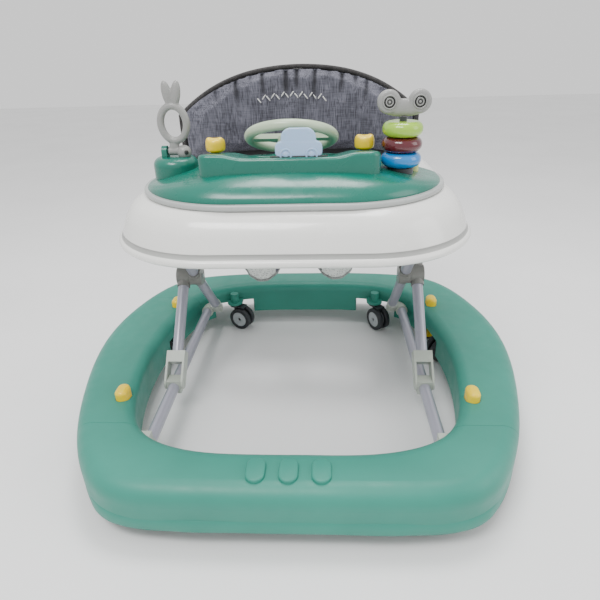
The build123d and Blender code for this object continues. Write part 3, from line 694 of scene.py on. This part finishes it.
def leg_cuffs(looks):
    """A mesh cuff hanging from each leg opening, longest in front, with piping round its edge."""
    count, rows = 96, 14
    for name, side in (("left", -1), ("right", 1)):
        points, hem = [], []
        for j in range(rows + 1):
            for k in range(count):
                angle = 2 * math.pi * k / count
                front = (1 - math.sin(angle)) / 2
                bottom = 238 - 38 * front ** 1.6 + (3 if side > 0 else 0)
                z = 252 + (bottom - 252) * j / rows
                radius = LEG_HOLE_R - 1 - 7 * step(252 - z, 0, 54) + 0.7 * math.sin(k * 0.8 + j * 0.2)
                x = side * LEG_HOLE_X + radius * math.cos(angle)
                spot = (x, LEG_HOLE_Y + radius * math.sin(angle), z)
                points.append(spot)
                if j == rows:
                    hem.append(spot)
        mesh = make_mesh(f"leg_cuff_{name}", points, grid_faces(rows + 1, count, wrap_columns=True))
        cuff = add_piece(f"leg_cuff_{name}", mesh, "tray", looks["mesh"], looks["fabric"])
        for face in mesh.polygons:
            spot = face.center / MM
            inner = side * (spot.x - side * LEG_HOLE_X) < -24 or spot.y > LEG_HOLE_Y + 12
            face.material_index = 1 if inner else 0
        thick = cuff.modifiers.new("Thick", "SOLIDIFY")
        thick.thickness = 1.4 * MM
        thick.offset = 0
        bake(cuff)
        piping = cord_tube(f"leg_piping_{name}", hem, 2.6, "tray", looks["piping"], closed=True)


# ---------------------------------------------------------------- tray and toys

def tray_shell(looks):
    """The white tray moulding: top plate, curved skirt, a recessed strip painted gray as shade, and
    rolled rim.
    """
    count = 256
    skirt = smooth_line([(388, 36), (380, 23), (367, 13), (352, 6.2), (342, 2.6)], 6)
    rolled = [(341.6, 3.4), (336.2, 1.6), (335.4, -0.2), (334.2, -2.6), (332, -4.2), (329.4, -4.8),
              (327, -4.3), (325.2, -2.6), (324.7, 0), (325.4, 2.4)]
    inner = smooth_line([(338, 4.2), (352, 10), (367, 17), (379, 27), (385, 37)], 4)
    opening = [(385, inset(OPENING, -0.4)), (387.2, inset(OPENING, -0.1)), (387.9, inset(OPENING, -1))]
    levels = [*opening, *[(z, inset(TRAY_PLAN, d)) for z, d in [*skirt, *rolled, *inner]]]
    points = [(x, y, z) for z, plan in levels for x, y, _, _ in plan_outline(plan, count)]
    faces = grid_faces(len(levels), count, wrap_rows=True, wrap_columns=True)
    mesh = make_mesh("tray_shell", points, faces)
    # The outward faces of the recessed strip above the rolled rim get the gray: painted shade under the
    # skirt.
    for face in mesh.polygons:
        z, out = face.center.z / MM, face.normal.xy.dot(face.center.xy)
        face.material_index = 1 if 335.8 < z < 341.5 and out > 0 else 0
    shell = add_piece("tray_shell", mesh, "tray", looks["white"], looks["recess"])
    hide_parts("tray_skirt")


def arch_cap(x):
    """How high the toy tray's top may rise at x."""
    return 432 - 728 + math.sqrt(728 ** 2 - x ** 2)


def toy_tray_shell(looks):
    """The green toy tray: a smooth dome with an upright rear edge, and the raised dashboard."""
    count = 256
    half, front, _, corner, _ = TRIM_PLAN
    side = smooth_line([(397, 3), (400, 3.4), (406, 6.8), (414, 15), (422, 29), (429.5, 47), (435, 66),
                        (438, 80)], 5)
    points = []
    for z, d in side:
        plan = (half - d, front + d, 6 - 0.05 * d, max(corner - d, 3), 3)
        for x, y, _, _ in plan_outline(plan, count):
            low, high = sorted((z, arch_cap(x)))
            points.append((x, y, low - 3.5 * math.exp(-(high - low) / 3.5)))
    faces = grid_faces(len(side), count, wrap_columns=True)
    faces += [tuple(range(count)), tuple(range(len(points) - count, len(points)))]
    dome = add_shape("toy_tray_shell", (points, faces), "toy_tray", looks["tray_teal"])
    turned = [math.radians(11.25 * k) for k in range(9)]
    rows = [(0, -40), (0, -20), *[(6 - 6 * math.cos(a), 6 * math.sin(a) - 6) for a in turned],
            (9, 0.1), (20, 0), (36, 0), (52, 0)]
    points = []
    for d, drop in rows:
        for x, y, _, _ in plan_outline(inset(CONSOLE_PLAN, d), count):
            along = (y - CONSOLE_PLAN[1]) / (CONSOLE_PLAN[2] - CONSOLE_PLAN[1])
            wing = 5 * step(abs(x), 60, 92)
            ahead = 4 * (1 - (x / 122) ** 2) * (1 - along)
            points.append((x, y - ahead, 446.5 - 17 * along + wing + drop))
    faces = grid_faces(len(rows), count, wrap_columns=True)
    faces.append(tuple(range(len(points) - count, len(points))))
    dash = add_piece("dashboard", make_mesh("dashboard", points, faces), "toy_tray", looks["tray_teal"])
    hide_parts("toy_tray")


def car_slot_shade(looks):
    """The slot that the car slides in, drawn as a flat dark plate: painted shade in the slot."""
    low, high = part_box("slide_car")
    x, y = middle("slide_car").xy
    half = (high[0] - low[0]) / 2 / MM + 7
    place = Matrix.Translation((x, y, 445.6)) @ Matrix.Rotation(math.radians(-8.6), 4, "X")
    plate = slab((half, -3.6, 3.6, 3.5, 3.5), place, 2.4, 0.5)
    slot = add_shape("car_slot_shade", plate, "toy_tray", looks["eye"])


def trim_rim(looks):
    """The rounded edge of the gray band under the toy tray."""
    section = [(-1, 388.9), (0.6, 389.1), (1.8, 390.2), (2.4, 392.6), (1.8, 395.2), (0.6, 396.4),
               (-1, 396.8)]
    band = edge_band("trim_rim", TRIM_PLAN, section, "toy_tray", looks["trim"])


def frog_eyes(looks):
    """Two round eyes on the frog's face, each a dark dish with a ring and a dot."""
    low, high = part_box("frog_head")
    centre = (Vector(low) + Vector(high)) / 2 / MM
    face_y = low[1] / MM - 0.6
    turns = [k * math.pi / 6 for k in range(13)]
    for name, side in (("left", -1), ("right", 1)):
        place = facing((centre.x + side * 20, face_y, centre.z + 2.5), (0, -1, 0))
        dish = [(0, 0.3), (7.6, 0.3), (7.6, -0.6)]
        ring = [(4.4 + 0.9 * math.cos(a), 0.4 + 0.9 * math.sin(a)) for a in turns]
        rim = [(8.4 + 1.1 * math.cos(a), 0.2 + 1.3 * math.sin(a)) for a in turns]
        dot = [(0, 1.3), (1.1, 1.1), (1.7, 0.5), (1.8, 0)]
        dark = add_shape(f"frog_eye_{name}", lathe([dish], place), "toy_tray", looks["eye"])
        light = add_shape(f"frog_eye_rings_{name}", lathe([ring, rim, dot], place), "toy_tray",
                          looks["toy_gray"])


def frog(looks):
    """The frog's head: two round lobes melted into one soft body."""
    x, y, z = middle("frog_head")
    flat = facing((x, y, z), (0, -1, 0))
    lobes = []
    for side in (-1, 1):
        turns = [math.radians(18 * k) for k in range(6)]
        half = [(10.6 + 5 * math.sin(a), 2.0 + 4.6 * math.cos(a)) for a in turns]
        profile = [(0, 6.6), *half, *[(r, -h) for r, h in reversed(half)], (0, -6.6)]
        lobes.append(lathe([profile], facing((x + side * 20.5, y, z + 2.5), (0, -1, 0))))
    lobes.append(ball((33, 6.4, 11.5), Matrix.Translation((x, y, z - 5))))
    head = fused("frog_face", lobes, 1.2, 6, "toy_tray", looks["toy_gray"])
    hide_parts("frog_head")


def bunny(looks):
    """The bunny ring: a soft ring, two ears on its top and a stem down to its hinge."""
    x, y, z = BUNNY_RING
    steps, around = 48, 20
    points = []
    for i in range(steps):
        a = 2 * math.pi * i / steps
        for j in range(around):
            b = 2 * math.pi * j / around
            out = 5.4 * math.cos(b)
            spot = ((19 + out) * math.cos(a), 5.6 * math.sin(b), (24 + out) * math.sin(a))
            points.append(Vector(BUNNY_RING) + Vector(spot))
    shapes = [(points, grid_faces(steps, around, wrap_rows=True, wrap_columns=True))]
    for side, lean in ((-1, -9), (1, 11)):
        tilt = Matrix.Rotation(math.radians(lean), 4, "Y")
        place = Matrix.Translation((x + 2 + side * 6.2, y, z + 40)) @ tilt
        shapes.append(ball((7.2, 5.4, 18.5), place))
    shapes.append(ball((7.5, 5, 10), Matrix.Translation((x - 3, y, z - 31))))
    hinge = [(0, -8.6), (5.2, -8.6), (6, -7.8), (6, 7.8), (5.2, 8.6), (0, 8.6)]
    shapes.append(lathe([hinge], facing((x - 4, y, z - 39), (1, 0, 0))))
    piece = fused("bunny", shapes, 1.1, 5, "bunny_ring", looks["toy_gray"])
    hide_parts("bunny_ring")


def car(looks):
    """The flat sliding car: body, rounded roof and wheels in one plate."""
    x, y, z = middle("slide_car")
    upright = Matrix.Translation((x, y, z)) @ Matrix.Rotation(math.radians(90), 4, "X")
    shapes = [slab((31, -15, 6, 7, 8), upright, 5.4, 1.6),
              slab((23, -8, 22.5, 5, 13), upright, 5.0, 1.6)]
    for side in (-1, 1):
        disc = [(0, 2.5), (7, 2.5), (8.4, 1.6), (8.8, 0), (8.4, -1.6), (7, -2.5), (0, -2.5)]
        shapes.append(lathe([disc], facing((x + side * 17, y, z - 13.5), (0, -1, 0))))
    piece = fused("car", shapes, 0.9, 3, "slide_car", looks["car_blue"])
    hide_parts("slide_car")


def owl_buttons(looks):
    """The two push buttons: soft barrels with a pair of small ears and a beak."""
    for name in ("left", "right"):
        low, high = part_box(f"button_{name}")
        x, y, _ = middle(f"button_{name}")
        base, top = high[2] / MM - 21, high[2] / MM
        profile = [(0, base), (9, base), (9, base + 2), (13, base + 2.6), (13.8, base + 5),
                   (14, base + 10), (13.8, base + 14.5), (13.2, base + 17.2), (11.8, base + 18.7),
                   (9, top - 1.6), (0, top - 1.4)]
        points, faces = lathe([profile], Matrix.Translation((x, y, 0)), 64)
        for point in points:
            across, along = point.x - x, point.y - y
            crown = step(point.z, top - 6, top - 2)
            for side in (-1, 1):
                ear = math.exp(-((across - side * 9.5) / 2.6) ** 2 - ((along + 4) / 5) ** 2)
                point.z += 3.4 * ear * crown
            band = math.exp(-((point.z - top + 6) / 1.1) ** 2)
            point.y -= 0.7 * band * (along < -4) * math.exp(-(across / 6) ** 2)
        piece = add_shape(f"owl_button_{name}", (points, faces), f"button_{name}", looks["yellow"])
        piece.modifiers.new("Round", "SUBSURF").levels = 1
        bake(piece)
        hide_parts(f"button_{name}")


def car_details(looks):
    """Raised wheels on the car's face."""
    low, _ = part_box("slide_car")
    x, _, z = middle("slide_car")
    for name, side in (("rear", -1), ("front", 1)):
        place = facing((x + side * 17, low[1] / MM - 0.2, z - 11), (0, -1, 0))
        ring = [(5.6, 0), (6.2, 0.9), (7.2, 1.2), (8.2, 0.9), (8.6, 0), (8.4, -0.6)]
        hub = [(0, 0.9), (3.2, 0.8), (4, 0.2), (4.2, -0.5)]
        wheel = add_shape(f"car_wheel_{name}", lathe([ring, hub], place), "slide_car",
                          looks["car_blue"])


def ring_pads(looks):
    """The three raised oblong pads on the ring's front segment."""
    _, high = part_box("ring_front")
    top = high[2] / MM - 0.6
    for name, x in (("left", -42), ("middle", 0), ("right", 42)):
        plate = slab((12.5, -20, 20, 12.4, 12.4), Matrix.Translation((x, -308, top)), 6, 2.6)
        pad = add_shape(f"ring_pad_{name}", plate, "base", looks["teal"])


def ring_lip(looks):
    """The rolled lower lip of the ring's front segment, which fades out at its ends."""
    line = [p for p in smooth_line(RING_LINE, 14) if p[1] < -280]
    path = [*line, *[(-x, y) for x, y in reversed(line[:-1])]]
    section = [(-1.5, 28), (0.4, 27.6), (2, 28.6), (2.9, 31), (3, 35), (2.6, 39), (1.4, 43), (0, 46),
               (-1.5, 47)]
    points = []
    for k, (x, y) in enumerate(path):
        before, after = path[max(k - 1, 0)], path[min(k + 1, len(path) - 1)]
        run = Vector((after[0] - before[0], after[1] - before[1])).normalized()
        fade = step(min(k, len(path) - 1 - k), 0, 10)
        for out, z in section:
            out = -1.5 + (out + 1.5) * fade
            points.append((x - run.y * out, y + run.x * out, z))
    lip = add_shape("ring_lip", (points, grid_faces(len(path), len(section))), "base", looks["teal"])


def brake_knobs(looks):
    """The four oblong brake knobs, softly rounded on top."""
    for name in ("front_left", "front_right", "rear_left", "rear_right"):
        low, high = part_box(f"brake_knob_{name}")
        x, y, _ = middle(f"brake_knob_{name}")
        half_x, half_y = (high[0] - low[0]) / 2 / MM, (high[1] - low[1]) / 2 / MM
        low_z, high_z = low[2] / MM, high[2] / MM + 4
        place = Matrix.Translation((x, y, (low_z + high_z) / 2))
        plan = (half_x, -half_y, half_y, half_x - 0.1, half_x - 0.1)
        knob = add_shape(f"knob_{name}", slab(plan, place, high_z - low_z, 6.5), f"brake_{name}",
                         looks["yellow"])
        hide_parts(f"brake_knob_{name}")


def pod_eye(looks):
    """The round gray boss at the bunny's hinge, with a dark dish as painted shade in its hole."""
    x, y, _ = BUNNY_RING
    round_boss = ball((10.5, 10, 10.5), Matrix.Translation((x + 11.5, y - 3, 439.5)))
    boss = add_shape("pod_boss", round_boss, "toy_tray", looks["toy_gray"])
    hole = [(0, 0.2), (2.7, 0.2), (3.3, -0.2), (3.4, -2)]
    place = facing((x + 17, y - 11.6, 440.5), (0.55, -0.83, 0.05))
    dark = add_shape("pod_hole_shade", lathe([hole], place, 32), "toy_tray", looks["eye"])


def small_knob(looks):
    """The pale knob beside the beads."""
    low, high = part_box("bead_post")
    x, y = (high[0] / MM) + 4, (low[1] + high[1]) / 2 / MM + 24
    z = 421
    profile = [(7.6, z - 12), (7.6, z), (7.2, z + 2.4), (5.4, z + 4.4), (2.6, z + 5.4), (0, z + 5.6)]
    dome = lathe([profile], Matrix.Translation((x, y, 0)), 32)
    knob = add_shape("small_knob", dome, "toy_tray", looks["knob_lime"])


# ---------------------------------------------------------------- camera, light and floor

def set_camera():
    """A camera at the viewing angle, sharp throughout."""
    data = bpy.data.cameras.new("camera")
    data.lens, data.sensor_width = CAMERA_LENS, CAMERA_SENSOR
    camera = bpy.data.objects.new("camera", data)
    bpy.context.scene.collection.objects.link(camera)
    axes = (Vector(CAMERA_RIGHT), Vector(CAMERA_UP), -Vector(CAMERA_FORWARD), Vector(CAMERA_AT))
    camera.matrix_world = Matrix([(*row, 0 if k < 3 else 1) for k, row in enumerate(axes)]).transposed()
    bpy.context.scene.camera = camera


def area_light(name, at, target, size, power):
    """A soft lamp that points at target."""
    data = bpy.data.lights.new(name, "AREA")
    data.shape, data.size, data.size_y, data.energy = "RECTANGLE", size[0], size[1], power
    lamp = bpy.data.objects.new(name, data)
    bpy.context.scene.collection.objects.link(lamp)
    aim = (Vector(target) - Vector(at)).to_track_quat("-Z", "Y")
    lamp.matrix_world = Matrix.Translation(at) @ aim.to_matrix().to_4x4()


def set_stage():
    """A plain pale floor, a white surround and soft studio lamps."""
    made = Nodes("floor_pale")
    tone = made.ramp(made.noise(3, 3), 0.3, 0.7)
    gloss = made.ramp(made.noise(5, 2), 0.3, 0.7, 0.5, 0.6)
    tint = made.blend(tone, colour("EDEDED"), colour("F2F2F2"))
    material = made.finish(Base_Color=tint, Roughness=gloss)
    corners = [(-6000, -6000, 0), (6000, -6000, 0), (6000, 6000, 0), (-6000, 6000, 0)]
    floor = bpy.data.objects.new("floor", make_mesh("floor", corners, [(0, 1, 2, 3)]))
    bpy.context.scene.collection.objects.link(floor)
    floor.data.materials.append(material)
    world = bpy.data.worlds.new("studio")
    world.use_nodes = True
    world.node_tree.nodes["Background"].inputs["Color"].default_value = (1, 1, 1, 1)
    world.node_tree.nodes["Background"].inputs["Strength"].default_value = 1.05
    bpy.context.scene.world = world
    area_light("key", (-0.5, -1.0, 1.9), (0, 0, 0.25), (1.0, 0.5), 26)
    area_light("top", (0.1, 0.35, 1.9), (0, 0.0, 0.3), (0.9, 0.5), 20)
    area_light("side", (1.7, -0.5, 1.0), (0, 0, 0.3), (0.9, 1.2), 9)


# ---------------------------------------------------------------- the scene

set_camera()
set_stage()
LOOKS = make_materials()
dress_nodes(LOOKS)
twin_wheels(LOOKS)
CUSHION = backrest_cushion(LOOKS)
backrest_trim(LOOKS, CUSHION)
seat_sling(LOOKS)
leg_cuffs(LOOKS)
tray_shell(LOOKS)
toy_tray_shell(LOOKS)
trim_rim(LOOKS)
car_slot_shade(LOOKS)
frog(LOOKS)
frog_eyes(LOOKS)
bunny(LOOKS)
owl_buttons(LOOKS)
car(LOOKS)
car_details(LOOKS)
small_knob(LOOKS)
ring_pads(LOOKS)
ring_lip(LOOKS)
brake_knobs(LOOKS)
pod_eye(LOOKS)
